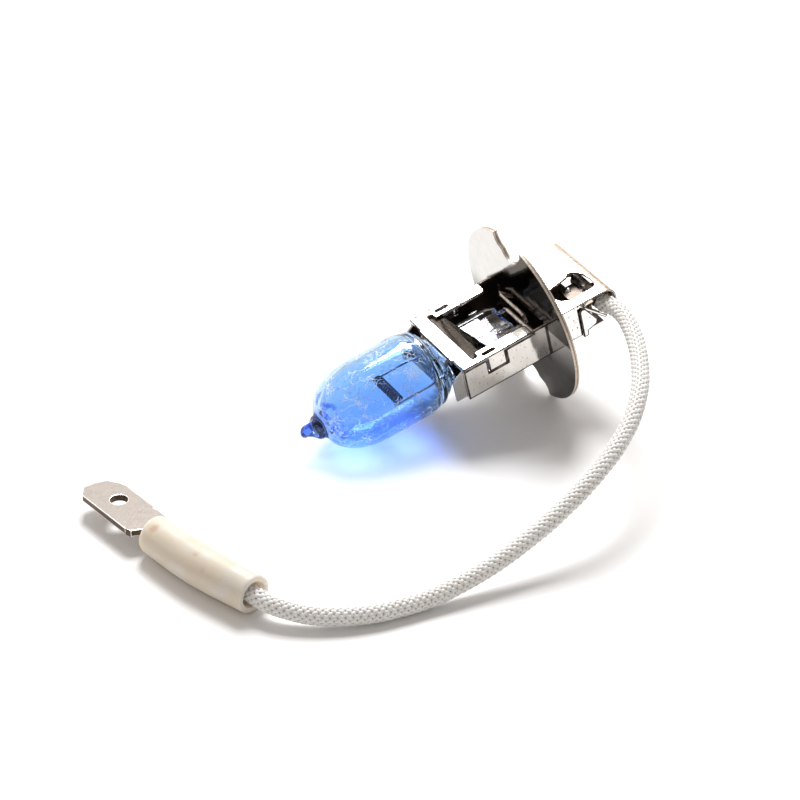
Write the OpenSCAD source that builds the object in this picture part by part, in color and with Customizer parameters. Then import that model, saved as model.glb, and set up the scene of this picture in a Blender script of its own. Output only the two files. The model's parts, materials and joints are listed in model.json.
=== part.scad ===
// Single-filament halogen headlight bulb with a transverse filament, a prefocus
// flange and a short braided lead that ends in a flat push-on blade.
// The bulb lies on a table: the flange's lower notch and the glass touch z = 0.
// Bulb axes used inside laid(): x along the axis to the tip, y to the near side,
// z up through the holder's window.

/* [Flange] */
// Diameter of the prefocus flange
flange_d = 22; // [20:0.5:24]
// Thickness of the flange sheet
flange_t = 0.6; // [0.4:0.1:1]
// Width of the upper rim notch at the flange's edge
notch_w = 5.4; // [4.8:0.2:6]
// Width of the lower rim notch, whose corner the bulb lies on
foot_notch_w = 6.2; // [5.6:0.2:7]
// Depth of both rim notches
notch_depth = 3.2; // [2.6:0.1:3.6]

/* [Holder] */
// Outside width of the lamp holder
holder_w = 11.8; // [11:0.2:13]
// Outside height of the lamp holder
holder_h = 4.45; // [4:0.05:5]
// Length of the holder in front of the flange
holder_len = 11.2; // [10:0.2:13]
// Thickness of the holder's sheet metal
sheet = 0.35; // [0.25:0.05:0.4]
// How far the bulb is rolled about its axis as it lies
bulb_roll = -2.7; // [-5:0.1:5]

/* [Glass] */
// Outside diameter of the glass bulb
bulb_d = 10.1; // [9:0.1:11]
// Distance from the flange to the end of the dome
dome_end = 27.4; // [26:0.1:29]
// Wall thickness of the glass bulb
glass_wall = 0.75; // [0.5:0.05:1]
// Width of the flat pinch seal
pinch_w = 6.4; // [6:0.1:7]
// Distance from the flange to the middle of the filament
light_centre = 18.9; // [18:0.1:20]
// Length of the filament coil
coil_len = 5; // [4:0.1:5.4]

/* [Rear cap] */
// Width of the cap behind the flange
cap_w = 11.4; // [10.6:0.1:11.6]
// Distance from the flange's back to the middle of the rolled end
cap_len = 7.5; // [7:0.1:8.5]

/* [Lead] */
// Diameter of the braided lead
cord_d = 2.1; // [1.8:0.1:2.3]
// Diameter of the bare conductor in the lead
wire_d = 1; // [0.8:0.1:1.1]

/* [Terminal] */
// Width of the blade
blade_w = 4.8; // [4.4:0.1:5.2]
// Thickness of the blade
blade_t = 0.8; // [0.5:0.1:0.8]
// Diameter of the detent hole in the blade
blade_hole_d = 2; // [1.4:0.1:2.4]
// Outside diameter of the soft sleeve
sleeve_d = 4.4; // [3.8:0.1:4.6]
// Length of the soft sleeve
sleeve_len = 16; // [14:0.1:18]

/* [Hidden] */
$fn = 64;

// How the bulb lies: nose down, on one corner of the lower notch and on the glass
rest_tilt = 14.2;
foot_angle = asin(foot_notch_w / flange_d) + bulb_roll;
axis_height = flange_d / 2 * cos(foot_angle) * cos(rest_tilt);
lay_x = 9.65;

// Holder levels: its box sits a little below the bulb's axis
holder_drop = 0.1;
top_z = holder_h / 2 - holder_drop;
low_z = -holder_h / 2 - holder_drop;
plate_z = top_z - sheet;
floor_z = low_z + sheet;
half_w = holder_w / 2;
wall_y = half_w - sheet;
back_x = -flange_t;

// Glass profile
bulb_r = bulb_d / 2;
dome_start = 20.5;
dome_power = 2.3;
neck_x = 9.5;
pinch_end = 2.2;
web_t = 1.9;
bead_r = 1.2;

// Seal parts
foil_y = 1.8;
foil_front = 9.6;
foil_back = 4.4;
foil_w = 1.4;
foil_t = 0.08;
inner_lead_r = 0.18;
outer_lead_r = 0.25;
coil_r = 0.5;
coil_wire_r = 0.1;
coil_turns = 11;
coil_shift = 0.3;
lead_y = coil_len / 2 + inner_lead_r;

// Rear cap and cord clamp
cap_y = cap_w / 2;
cap_sheet = 0.25;
roll_x = back_x - cap_len;
roll_r = 1.5;
cord_y0 = 2.4;
cord_z0 = 0.1;
clamp_t = 0.2;
clamp_z = 0.75;
rivet_x = -5.95;
rivet_ys = [1.2, 4.3];
rivet_r = 0.42;
bend_front = [-0.9, -3.1, 0.2];
bend_back = [-6, -2.2, 0];

// Soft sleeve's front end, its direction towards the lead, and what it holds
sleeve_front = [-41.62, -7.64];
sleeve_turn = -74.5;
sleeve_bore_r = 1.4;
axis_z = sleeve_d / 2;
blade_out = 11.45;
blade_turn = -6.5;
blade_shift = 0.4;
blade_hole = [4.45, 0.2];
crimp_s = 2;
cord_end_s = 4.6;

// Route of the lead, from the cap's mouth to the soft sleeve
cord_route = [[17.9, -7, 12.3], [17.9, -8.8, 12.2], [17.4, -10.8, 12], [16.6, -13, 11.8],
    [15.4, -15.6, 11.5], [13.9, -18.2, 11.2], [12.5, -20.3, 10.9], [10.9, -22.2, 10.5],
    [9.2, -23.9, 10], [7.4, -25.3, 9.4], [4.6, -27.1, 8.6], [1.8, -28.4, 7.7],
    [-1, -29.4, 6.7], [-3.4, -30, 5.8], [-5.8, -30.5, 4.9], [-8.5, -30.9, 4],
    [-11.8, -31.3, 3], [-14.9, -31.5, 2.2], [-17.5, -31.6, 1.7], [-20, -31.6, 1.3],
    [-22.4, -31.5, 1.1], [-24.8, -31.3, 1.1], [-27.4, -30.9, 1.1], [-29.9, -30.1, 1.2],
    [-32.2, -29, 1.3], [-34.2, -27.6, 1.5], [-35.8, -26, 1.8], [-36.8, -24.5, 2]];

// Frames
module laid() translate([lay_x, 0, axis_height]) rotate([0, -rest_tilt, 0]) rotate([0, 0, 180])
    rotate([bulb_roll, 0, 0]) children();
module at_sleeve()
    translate([sleeve_front.x, sleeve_front.y, axis_z]) rotate([0, 0, sleeve_turn]) children();
module at_blade()
    at_sleeve() translate([0, blade_shift, 0]) rotate([0, 0, blade_turn]) translate([-blade_out, 0, 0]) children();
// Extrudes a drawing whose axes are y and z, from x0 towards the tip
module across(x0, len) translate([x0, 0, 0]) rotate([90, 0, 90]) linear_extrude(len) children();
// Extrudes a drawing whose axes are x and z, from y0 to y1
module sideways(y0, y1) translate([0, y1, 0]) rotate([90, 0, 0]) linear_extrude(y1 - y0) children();
// Turns an outline of [radius, x] points about the bulb's axis
module turned(outline) rotate([0, 90, 0]) rotate_extrude($fn = 96) polygon(outline);
// Copies children to both sides of the middle plane
module both_sides() {
    children();
    mirror([0, 1, 0]) children();
}
// Rounded rectangle given by its two corners
module round_box(low, high, r) {
    translate([low.x + r, low.y]) square([high.x - low.x - 2 * r, high.y - low.y]);
    translate([low.x, low.y + r]) square([high.x - low.x, high.y - low.y - 2 * r]);
    for (x = [low.x + r, high.x - r], y = [low.y + r, high.y - r])
        translate([x, y]) circle(r = r, $fn = 32);
}

// Sweep of a round tube through a list of points, one ring at each
function unit(v) = v / norm(v);
function heading(path, i) = unit(path[min(i + 1, len(path) - 1)] - path[max(i - 1, 0)]);
function side_of(h) = unit(cross([0, 0, 1], h));
function ring(path, i, r, n) = let (h = heading(path, i), s = side_of(h), u = cross(h, s))
    [for (k = [0 : n - 1]) path[i] + r * (cos(360 * k / n) * s + sin(360 * k / n) * u)];
module tube(path, r, n) {
    last = len(path) - 1;
    points = [for (i = [0 : last]) each ring(path, i, r, n)];
    skin = [for (i = [0 : last - 1], k = [0 : n - 1])
        [i * n + k, i * n + (k + 1) % n, (i + 1) * n + (k + 1) % n, (i + 1) * n + k]];
    caps = [[for (k = [n - 1 : -1 : 0]) k], [for (k = [0 : n - 1]) last * n + k]];
    polyhedron(points, [for (f = concat(skin, caps)) [for (j = [len(f) - 1 : -1 : 0]) f[j]]]);
}

// Radius of a rounded dome that starts at dome_start
function dome_r(x, r, len) = r * pow(max(0, 1 - pow((x - dome_start) / len, dome_power)), 1 / dome_power);
function dome(r, len) = [for (i = [0 : 12]) let (x = dome_start + len * sin(7.5 * i)) [dome_r(x, r, len), x]];

module glass_blank() {
    turned(concat([[0, 12], [2.5, 12.1], [3.8, 12.5], [4.5, 13], [4.85, 13.7], [bulb_r, 15]],
        dome(bulb_r, dome_end - dome_start)));
    // twisted-off exhaust tip
    turned([[0, 26.4], [1.5, 26.6], [1.45, 27.7], [0.9, 28.4], [0.75, 29], [0.5, 29.6], [0, 29.8]]);
    // neck that widens from the pinch to the round bulb
    intersection() {
        across(neck_x, 4) circle(r = 4.6);
        sideways(-6, 6) polygon([[neck_x, -bead_r], [11.9, -bead_r], [13, -4.4], [13, 4.4],
            [11.9, bead_r], [neck_x, bead_r]]);
        linear_extrude(12, center = true)
            polygon([[neck_x, -pinch_w / 2], [13, -4.6], [13, 4.6], [neck_x, pinch_w / 2]]);
    }
    // flat pinch with a thicker bead along each edge
    linear_extrude(web_t, center = true)
        round_box([pinch_end, 0.1 - pinch_w / 2], [neck_x + 1, pinch_w / 2 - 0.1], 0.8);
    both_sides() translate([pinch_end + 0.5, pinch_w / 2 - bead_r, 0]) rotate([0, 90, 0])
        cylinder(r = bead_r, h = neck_x - pinch_end);
}
module glass_envelope() color("lightskyblue", 0.5) laid() difference() {
    glass_blank();
    turned(concat([[0, 13], [2.7, 13.1], [3.7, 13.7], [bulb_r - glass_wall, 15]],
        dome(bulb_r - glass_wall, dome_end - dome_start - 0.9)));
    for (side = [1, -1]) inner_lead_shape(side);
    both_sides() {
        foil_shape();
        tube([[foil_back, foil_y, 0], [pinch_end - 0.2, foil_y, 0]], outer_lead_r, 12);
    }
}

module inner_lead_shape(side) {
    y = side * lead_y + coil_shift;
    tube([[light_centre + 0.3, y, 0], [14.2, y, 0], [13.6, y - 0.1 * side, 0], [12.6, side * (foil_y + 0.1), 0],
        [12, side * foil_y, 0], [foil_front, side * foil_y, 0]], inner_lead_r, 12);
}
module inner_lead_near() color("gray") laid() inner_lead_shape(1);
module inner_lead_far() color("gray") laid() inner_lead_shape(-1);

module foil_shape()
    translate([foil_back, foil_y - foil_w / 2, -foil_t / 2]) cube([foil_front - foil_back, foil_w, foil_t]);
module foil_near() color("silver") laid() foil_shape();
module foil_far() color("silver") laid() mirror([0, 1, 0]) foil_shape();

module filament_coil() {
    steps = 14;
    half = coil_len / 2 - coil_wire_r;
    helix = [for (i = [0 : coil_turns * steps]) let (a = 360 * i / steps)
        [coil_r * cos(a), coil_r * sin(a), half * (2 * i / steps / coil_turns - 1)]];
    color("dimgray") laid() translate([light_centre - coil_r, coil_shift, 0]) rotate([90, 0, 0])
        coil_tube(helix, coil_wire_r, 6);
}
// Tube round a coil: each ring lies in the plane of the radius and the coil's axis
module coil_tube(path, r, n) {
    last = len(path) - 1;
    points = [for (p = path) let (out = unit([p.x, p.y, 0]))
        each [for (k = [0 : n - 1]) p + r * (cos(360 * k / n) * out + [0, 0, sin(360 * k / n)])]];
    skin = [for (i = [0 : last - 1], k = [0 : n - 1])
        [i * n + k, (i + 1) * n + k, (i + 1) * n + (k + 1) % n, i * n + (k + 1) % n]];
    caps = [[for (k = [0 : n - 1]) k], [for (k = [n - 1 : -1 : 0]) last * n + k]];
    polyhedron(points, concat(skin, caps));
}

module outer_lead_ground() color("rosybrown") laid()
    tube([[foil_back, -foil_y, 0], [pinch_end - 0.2, -foil_y, 0], [1.5, -1.6, 0.3], [1.4, -0.9, 1],
        [1.4, -0.3, 1.25], [1.4, 3.8, 1.3], [1.4, wall_y, 1.3]], outer_lead_r, 12);
module outer_lead_live() color("rosybrown") laid()
    tube([[foil_back, foil_y, 0], [pinch_end - 0.2, foil_y, 0], [1, 2, 0.2], [0.65, 2.4, 0.8], [0.65, 2, 1.5],
        [0.65, 1.4, 1.6], [0.65, -2.6, 1.6], [0.5, -3.2, 1.5], [0, -3.4, 0.9], bend_front, bend_back,
        [-7.4, -2, 0.1], [roll_x, -1.5, cord_z0], [roll_x, -0.6, cord_z0]], outer_lead_r, 12);
module lead_insulator() color("ivory") laid() difference() {
    step = bend_back - bend_front;
    tube([bend_front + 0.08 * step, bend_front + 0.88 * step], 0.6, 24);
    tube([bend_front, bend_back], outer_lead_r, 12);
}

// Lower half of the holder: floor and two walls, with a cut for each locking tab
module holder_tray() color("silver") laid() difference() {
    union() {
        across(back_x, holder_len - back_x) translate([-half_w, low_z]) square([holder_w, sheet]);
        both_sides() translate([back_x, wall_y, low_z]) cube([holder_len - back_x, sheet, plate_z - low_z]);
        both_sides() translate([back_x, wall_y, 0]) cube([1.7 - back_x, sheet, top_z]);
    }
    both_sides() translate([5.5, wall_y - 1, -0.1]) cube([2.6, 2, holder_h]);
}

// Upper half of the holder: frame around the pinch, front tongue and two locking tabs
module window_plate() color("silver") laid() {
    translate([0, 0, plate_z]) linear_extrude(sheet) difference() {
        translate([1.8, -half_w]) square([holder_len - 1.8, holder_w]);
        // window over the pinch, open towards the flange, with a relief slot in each corner
        translate([1, -4.1]) square([8.35, 8.2]);
        round_box([8.7, -5], [9.35, 5], 0.3);
        both_sides() {
            round_box([6.5, 4.9], [8.1, 5.3], 0.15);
            translate([1.8, 4.1]) difference() {
                translate([-0.5, -0.1]) square([1.1, 0.7]);
                translate([0.6, 0.6]) circle(r = 0.6);
            }
        }
    }
    // tongue bent down over the glass shoulder
    intersection() {
        sideways(-4, 4) polygon([[10.9, plate_z], [holder_len, plate_z], [11.6, 1.25], [11.95, 1.35],
            [holder_len + 0.2, top_z], [10.9, top_z]]);
        linear_extrude(4) {
            translate([10.5, -3.6]) square([0.9, 7.2]);
            round_box([10.5, -2.9], [12, 2.9], 0.55);
        }
    }
    both_sides() translate([5.65, wall_y, 0]) cube([2.3, sheet, plate_z]);
}

// Inner channel that grips the pinch and reaches out under the glass
module pinch_cradle() {
    front = 12.6;
    pad_z = floor_z + 0.3;
    finger_y = pinch_w / 2;
    color("silver") laid() {
        translate([3, -wall_y, floor_z]) cube([8, 2 * wall_y, 0.3]);
        both_sides() {
            sideways(wall_y - 0.3, wall_y) polygon([[3, floor_z], [front, floor_z], [front, 0.8], [12.1, 1.1],
                [11, plate_z], [8.3, plate_z], [8.3, -0.2], [5.3, -0.2], [5.3, plate_z], [3, plate_z]]);
            for (x = [3.8, 8.6]) {
                // pressed boss under the glass and a finger bent in against its edge
                translate([x, pinch_w / 2 - bead_r - 0.4, pad_z]) cube([1, 0.8, -bead_r - pad_z]);
                translate([x, finger_y, pad_z]) cube([0.3, wall_y - 0.3 - finger_y, 2.3]);
                translate([x, finger_y, -0.8]) cube([1.2, 0.3, 1.6]);
            }
        }
    }
}

// Notch outline at the top of the rim, with flared shoulders and a round floor
module rim_notch(w) {
    floor_y = flange_d / 2 - notch_depth;
    translate([0, floor_y + 1.5]) circle(r = 1.5, $fn = 48);
    polygon([[-1.4, floor_y + 1], [-w / 2 + 0.6, floor_y + 1.35], [-w / 2 + 0.15, floor_y + 1.9],
        [-w / 2, floor_y + 2.6], [-w / 2, flange_d], [w / 2, flange_d], [w / 2, floor_y + 2.6],
        [w / 2 - 0.15, floor_y + 1.9], [w / 2 - 0.6, floor_y + 1.35], [1.4, floor_y + 1]]);
}
// Flange: round plate with a notch at the top and the bottom and a window for the holder
module base_flange() color("darkgray") laid() across(back_x, flange_t) difference() {
    circle(d = flange_d, $fn = 128);
    rim_notch(notch_w);
    mirror([0, 1, 0]) rim_notch(foot_notch_w);
    translate([-half_w, low_z]) square([holder_w, holder_h]);
}

// Side outline of the rear cap: flat top that rolls down round the lead
module cap_outline(shrink) {
    roll_z = top_z - roll_r;
    translate([roll_x, roll_z]) circle(r = roll_r - shrink, $fn = 48);
    translate([roll_x, low_z]) square([back_x - roll_x, holder_h - shrink]);
    translate([roll_x - roll_r + shrink, -0.9]) square([roll_r, roll_z + 0.9]);
}
module rear_cap() color("silver") laid() difference() {
    union() {
        sideways(-cap_y, cap_y) difference() {
            cap_outline(0);
            cap_outline(cap_sheet);
        }
        sideways(-cap_y, cap_sheet - cap_y) cap_outline(0);
        sideways(cap_y - cap_sheet, cap_y)
            polygon([[back_x, low_z], [-4.4, low_z], [-4.4, top_z], [back_x, top_z]]);
        // slanted strip that carries the lead at the cap's mouth
        sideways(cap_y - 0.6, cap_y) polygon([[-4.4, 1.5], [-4.4, top_z], [-4.7, top_z], [-8.05, -1.45],
            [-7.75, -1.6], [-4.75, 1.5]]);
    }
    // opening in the top over the clamp
    translate([0, 0, top_z - 0.6]) linear_extrude(2) polygon([[-3.4, 1.2], [-6.3, 0.6], [-6.8, 0.2],
        [-7.3, 0.3], [-8, 1.3], [-8.3, 2.5], [-8.3, 3.5], [-7.7, 4.2], [-4.4, 4.2], [-3.6, 3.7], [-3.3, 3]]);
    // the roll stops short below the lead
    translate([roll_x - roll_r - 1, cord_y0 - 1.5, low_z - 1]) cube([roll_r + 1, 6, -0.1 - low_z]);
}

// Floor of the rear cap, with an ear turned up beside the near wall
module rear_tray() {
    tray_z = low_z + cap_sheet;
    inner_y = cap_y - cap_sheet;
    color("silver") laid() {
        translate([-7.6, -inner_y, low_z]) cube([7.6 + back_x, 2 * inner_y, cap_sheet]);
        sideways(cap_y, cap_y + cap_sheet) polygon([[-4.5, low_z - cap_sheet], [-4.5, 1.1], [-4.8, 1.5],
            [-5.3, 1.3], [-6.6, -0.9], [-6.4, -1.5], [-5.2, -1.9], [-5.2, low_z - cap_sheet]]);
        translate([-5.2, cap_y - 1, low_z - cap_sheet]) cube([0.7, 1.1, cap_sheet]);
        // raised seat under the clamp's foot
        translate([-6.7, 0.6, tray_z]) cube([1.5, 4.3, clamp_z - clamp_t - tray_z]);
    }
}

// Saddle over the end of the lead, riveted down through its foot
module cord_clamp() color("dimgray") laid() difference() {
    union() {
        sideways(cord_y0 + 0.2, 4.9) difference() {
            translate([roll_x, cord_z0]) circle(r = cord_d / 2 + clamp_t, $fn = 48);
            translate([roll_x - 3, cord_z0 - 3]) square([6, 3]);
        }
        sideways(0.5, 4.9) translate([-7, clamp_z - clamp_t]) square([1.9, clamp_t]);
        sideways(cord_y0 + 0.2, 4.9) translate([-7.2, cord_z0 + 0.3]) square([0.4, clamp_z - cord_z0 - 0.3]);
    }
    sideways(0, 6) translate([roll_x, cord_z0]) circle(r = cord_d / 2, $fn = 48);
    for (y = rivet_ys) translate([rivet_x, y, clamp_z - 1]) cylinder(r = 0.2, h = 2, $fn = 32);
}
module clamp_rivets() color("white") laid() for (y = rivet_ys) translate([rivet_x, y, clamp_z]) {
    translate([0, 0, -clamp_t]) cylinder(r = 0.2, h = clamp_t, $fn = 32);
    intersection() {
        translate([0, 0, -0.1]) sphere(r = rivet_r, $fn = 32);
        cylinder(r = 1, h = 1);
    }
}

module splice_ferrule() color("darkgray") laid() difference() {
    sideways(-0.6, 1.9) translate([roll_x, cord_z0]) circle(r = 0.75);
    sideways(-1, 2) translate([roll_x, cord_z0]) circle(r = wire_d / 2);
}
module conductor_bulb_end() color("sienna") laid()
    sideways(-0.6, cord_y0) translate([roll_x, cord_z0]) circle(r = wire_d / 2);

// Place on the table of a point given on the bulb's axes
function roll_point(p) = [p.x, p.y * cos(bulb_roll) - p.z * sin(bulb_roll),
    p.y * sin(bulb_roll) + p.z * cos(bulb_roll)];
function tilt_point(p) = [-p.x * cos(rest_tilt) - p.z * sin(rest_tilt), -p.y,
    p.z * cos(rest_tilt) - p.x * sin(rest_tilt)];
function bulb_point(p) = [lay_x, 0, axis_height] + tilt_point(roll_point(p));
function sleeve_point(s) = [sleeve_front.x + s * cos(sleeve_turn), sleeve_front.y + s * sin(sleeve_turn), axis_z];
module cord() {
    start = [for (y = [cord_y0, 4, 5.6]) bulb_point([roll_x, y, cord_z0])];
    end = [for (s = [sleeve_len, (sleeve_len + cord_end_s) / 2, cord_end_s]) sleeve_point(s)];
    color("ivory") tube(concat(start, cord_route, end), cord_d / 2, 8);
}

module conductor_terminal_end() color("sienna") at_sleeve()
    translate([crimp_s + 0.4, 0, 0]) rotate([0, 90, 0]) cylinder(r = wire_d / 2, h = cord_end_s - crimp_s - 0.4);

// Blade with a chamfered nose and a detent hole, a neck, and two crimp barrels in the sleeve
module terminal_blade() {
    half = blade_w / 2;
    neck = 0.9;
    color("silver") {
        at_blade() difference() {
            linear_extrude(blade_t, center = true) polygon([[0, -1.45], [0.1, 0], [0.5, 1.3], [1.9, half - 0.25],
                [2.8, half], [7.9, half], [8.1, half - 0.2], [8.5, half - 0.2], [8.7, half - 0.05],
                [10.6, half - 0.05], [11.3, neck], [13.9, neck], [13.9, -neck], [10.7, -neck],
                [10.1, 0.2 - half], [9.4, -half], [1.15, -half]]);
            translate([blade_hole.x, blade_hole.y, -1]) cylinder(d = blade_hole_d, h = 2);
        }
        at_sleeve() difference() {
            union() {
                translate([crimp_s, 0, 0]) rotate([0, 90, 0]) cylinder(r = 0.85, h = 2.2);
                translate([cord_end_s, 0, 0]) rotate([0, 90, 0]) cylinder(r = sleeve_bore_r, h = 2.2);
                translate([crimp_s + 2.1, -0.5, -1.35]) cube([0.6, 1, 0.8]);
            }
            translate([crimp_s + 0.3, 0, 0]) rotate([0, 90, 0]) cylinder(r = wire_d / 2, h = 4);
            translate([cord_end_s, 0, 0]) rotate([0, 90, 0]) cylinder(r = cord_d / 2 + 0.02, h = 4);
        }
    }
}

module terminal_sleeve() color("blanchedalmond") at_sleeve() rotate([0, 90, 0]) difference() {
    cylinder(d = sleeve_d, h = sleeve_len);
    translate([0, 0, -1]) cylinder(r = sleeve_bore_r, h = sleeve_len + 2);
}

glass_envelope();
filament_coil();
inner_lead_near();
inner_lead_far();
foil_near();
foil_far();
outer_lead_live();
outer_lead_ground();
lead_insulator();
holder_tray();
window_plate();
pinch_cradle();
base_flange();
rear_cap();
rear_tray();
cord_clamp();
clamp_rivets();
splice_ferrule();
conductor_bulb_end();
cord();
conductor_terminal_end();
terminal_blade();
terminal_sleeve();
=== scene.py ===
import json
import math

import bmesh
import bpy
from mathutils import Matrix, Vector

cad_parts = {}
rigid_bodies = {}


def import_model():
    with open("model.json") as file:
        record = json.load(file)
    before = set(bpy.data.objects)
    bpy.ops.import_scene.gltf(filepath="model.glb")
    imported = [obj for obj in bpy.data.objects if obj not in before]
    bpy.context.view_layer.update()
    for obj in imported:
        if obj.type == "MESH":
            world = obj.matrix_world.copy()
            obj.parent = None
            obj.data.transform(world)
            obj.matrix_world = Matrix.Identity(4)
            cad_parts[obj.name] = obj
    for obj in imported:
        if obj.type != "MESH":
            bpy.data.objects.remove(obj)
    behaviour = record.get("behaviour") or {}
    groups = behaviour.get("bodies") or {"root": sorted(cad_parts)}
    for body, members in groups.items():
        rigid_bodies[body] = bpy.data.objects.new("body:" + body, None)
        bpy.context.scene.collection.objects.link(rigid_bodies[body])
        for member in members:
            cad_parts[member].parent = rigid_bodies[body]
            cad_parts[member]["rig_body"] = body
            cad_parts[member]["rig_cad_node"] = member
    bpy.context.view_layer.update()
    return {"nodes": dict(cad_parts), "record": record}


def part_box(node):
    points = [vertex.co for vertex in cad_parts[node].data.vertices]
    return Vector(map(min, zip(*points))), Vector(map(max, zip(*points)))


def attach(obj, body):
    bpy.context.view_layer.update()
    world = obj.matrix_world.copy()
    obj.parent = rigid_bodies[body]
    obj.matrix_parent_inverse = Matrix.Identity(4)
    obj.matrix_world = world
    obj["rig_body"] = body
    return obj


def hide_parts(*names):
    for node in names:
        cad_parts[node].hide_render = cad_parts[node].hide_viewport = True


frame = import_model()

# ---------------------------------------------------------------- sizes and frames
# Lengths of the bulb's own pieces are in millimetres, on the bulb's axes: x to the glass tip,
# y to the near side, z up through the holder's window.
MM = 0.001
REST_TILT = math.radians(14.2)
BULB_ROLL = math.radians(-2.7)
FLANGE_T = 0.6

MOUNTS = {mount["name"]: mount for mount in frame["record"]["mounts"]}
TIP_WAY = Vector(MOUNTS["flange_rim"]["axis"]).normalized()
BULB_ORIGIN = Vector(MOUNTS["flange_rim"]["pos_m"]) + TIP_WAY * FLANGE_T / 2 * MM
BULB_TURN = (
    Matrix.Rotation(-REST_TILT, 4, "Y")
    @ Matrix.Rotation(math.pi, 4, "Z")
    @ Matrix.Rotation(BULB_ROLL, 4, "X")
)
BULB = Matrix.Translation(BULB_ORIGIN) @ BULB_TURN @ Matrix.Scale(MM, 4)

SLEEVE_LEN = 16
SLEEVE_TURN = math.radians(-74.5)
SLEEVE_WAY = Vector((math.cos(SLEEVE_TURN), math.sin(SLEEVE_TURN), 0))
sleeve_low, sleeve_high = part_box("terminal_sleeve")
SLEEVE_FRONT = (sleeve_low + sleeve_high) / 2 - SLEEVE_WAY * SLEEVE_LEN / 2 * MM
SLEEVE_SPIN = Matrix.Rotation(SLEEVE_TURN, 4, "Z")
SLEEVE = Matrix.Translation(SLEEVE_FRONT) @ SLEEVE_SPIN @ Matrix.Scale(MM, 4)


def on_bulb(x, y, z):
    return BULB @ Vector((x, y, z))


def on_sleeve(x, y, z):
    return SLEEVE @ Vector((x, y, z))


def smooth(low, high, value):
    """0 below low, 1 above high, and a soft step between."""
    t = min(max((value - low) / (high - low), 0.0), 1.0)
    return t * t * (3 - 2 * t)


def curve_through(stops, value):
    """Soft interpolation of a list of (place, size) stops."""
    for (x0, y0), (x1, y1) in zip(stops, stops[1:]):
        if value <= x1:
            return y0 + (y1 - y0) * smooth(x0, x1, value)
    return stops[-1][1]


# ---------------------------------------------------------------- camera
def make_camera():
    eye = Vector((-0.15125, -0.2496, 0.1868))
    aim = Vector((-0.005, 0.0024, 0.002))
    camera = bpy.data.objects.new("camera", bpy.data.cameras.new("camera"))
    camera.data.sensor_width = 36
    camera.data.lens = 135
    camera.data.clip_start = 0.01
    camera.location = eye
    camera.rotation_euler = (eye - aim).to_track_quat("Z", "Y").to_euler()
    bpy.context.scene.collection.objects.link(camera)
    bpy.context.scene.camera = camera


make_camera()


# ---------------------------------------------------------------- material helpers
class Finish:
    """A material under construction, with short ways to add its nodes."""

    def __init__(self, name, **values):
        self.material = bpy.data.materials.new(name)
        self.material.use_nodes = True
        self.tree = self.material.node_tree
        self.shader = self.tree.nodes["Principled BSDF"]
        for socket, value in values.items():
            self.shader.inputs[socket.replace("_", " ")].default_value = value

    def add(self, kind, values=None, **settings):
        node = self.tree.nodes.new(kind)
        for name, value in settings.items():
            setattr(node, name, value)
        for socket, value in (values or {}).items():
            if isinstance(value, bpy.types.NodeSocket):
                self.tree.links.new(value, node.inputs[socket])
            else:
                node.inputs[socket].default_value = value
        return node

    def feed(self, socket, source):
        self.tree.links.new(source, self.shader.inputs[socket])

    def place(self, matrix=BULB):
        """Object coordinates, turned to the axes of a frame and in millimetres."""
        source = self.add("ShaderNodeTexCoord").outputs["Object"]
        spot, turn, scale = matrix.decompose()
        values = {"Vector": source, "Location": spot}
        mapping = self.add("ShaderNodeMapping", values, vector_type="TEXTURE")
        mapping.inputs["Rotation"].default_value = turn.to_euler("XYZ")
        mapping.inputs["Scale"].default_value = scale
        return mapping.outputs[0]

    def stretch(self, place, x, y, z):
        return self.add("ShaderNodeVectorMath", {0: place, 1: (x, y, z)}, operation="MULTIPLY").outputs[0]

    def axis(self, place, name):
        return self.add("ShaderNodeSeparateXYZ", {0: place}).outputs[name]

    def noise(self, place, scale, detail=3.0, rough=0.5, warp=0.0):
        values = {"Vector": place, "Scale": scale, "Detail": detail, "Roughness": rough, "Distortion": warp}
        return self.add("ShaderNodeTexNoise", values).outputs[0]

    def math(self, kind, a, b=0.5):
        return self.add("ShaderNodeMath", {0: a, 1: b}, operation=kind).outputs[0]

    def distance(self, place, spot):
        node = self.add("ShaderNodeVectorMath", {0: place, 1: spot}, operation="DISTANCE")
        return node.outputs["Value"]

    def step(self, source, low, high, to_low=0.0, to_high=1.0):
        values = {"Value": source, "From Min": low, "From Max": high, "To Min": to_low, "To Max": to_high}
        return self.add("ShaderNodeMapRange", values, interpolation_type="SMOOTHSTEP").outputs[0]

    def blend(self, share, first, second):
        """Mixes two colours, or colour sockets, by a share from 0 to 1."""
        node = self.add("ShaderNodeMix", {"Factor": share}, data_type="RGBA")
        for socket, value in ((node.inputs[6], first), (node.inputs[7], second)):
            if isinstance(value, bpy.types.NodeSocket):
                self.tree.links.new(value, socket)
            else:
                socket.default_value = (*value, 1)
        return node.outputs[2]

    def bump(self, height, depth, strength=1.0):
        values = {"Height": height, "Distance": depth * MM, "Strength": strength}
        self.feed("Normal", self.add("ShaderNodeBump", values).outputs[0])


def clear_to_lamps(finish, tint):
    """Lets lamp light pass a glass material, tinted, in place of a black shadow."""
    nodes, links = finish.tree.nodes, finish.tree.links
    window = finish.add("ShaderNodeBsdfTransparent", {"Color": (*tint, 1)})
    path = finish.add("ShaderNodeLightPath")
    mix = finish.add("ShaderNodeMixShader", {0: path.outputs["Is Shadow Ray"]})
    links.new(finish.shader.outputs[0], mix.inputs[1])
    links.new(window.outputs[0], mix.inputs[2])
    links.new(mix.outputs[0], nodes["Material Output"].inputs["Surface"])


# ---------------------------------------------------------------- finishes
FROST_SPOT = (15.9, 3.4, 3.3)


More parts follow.
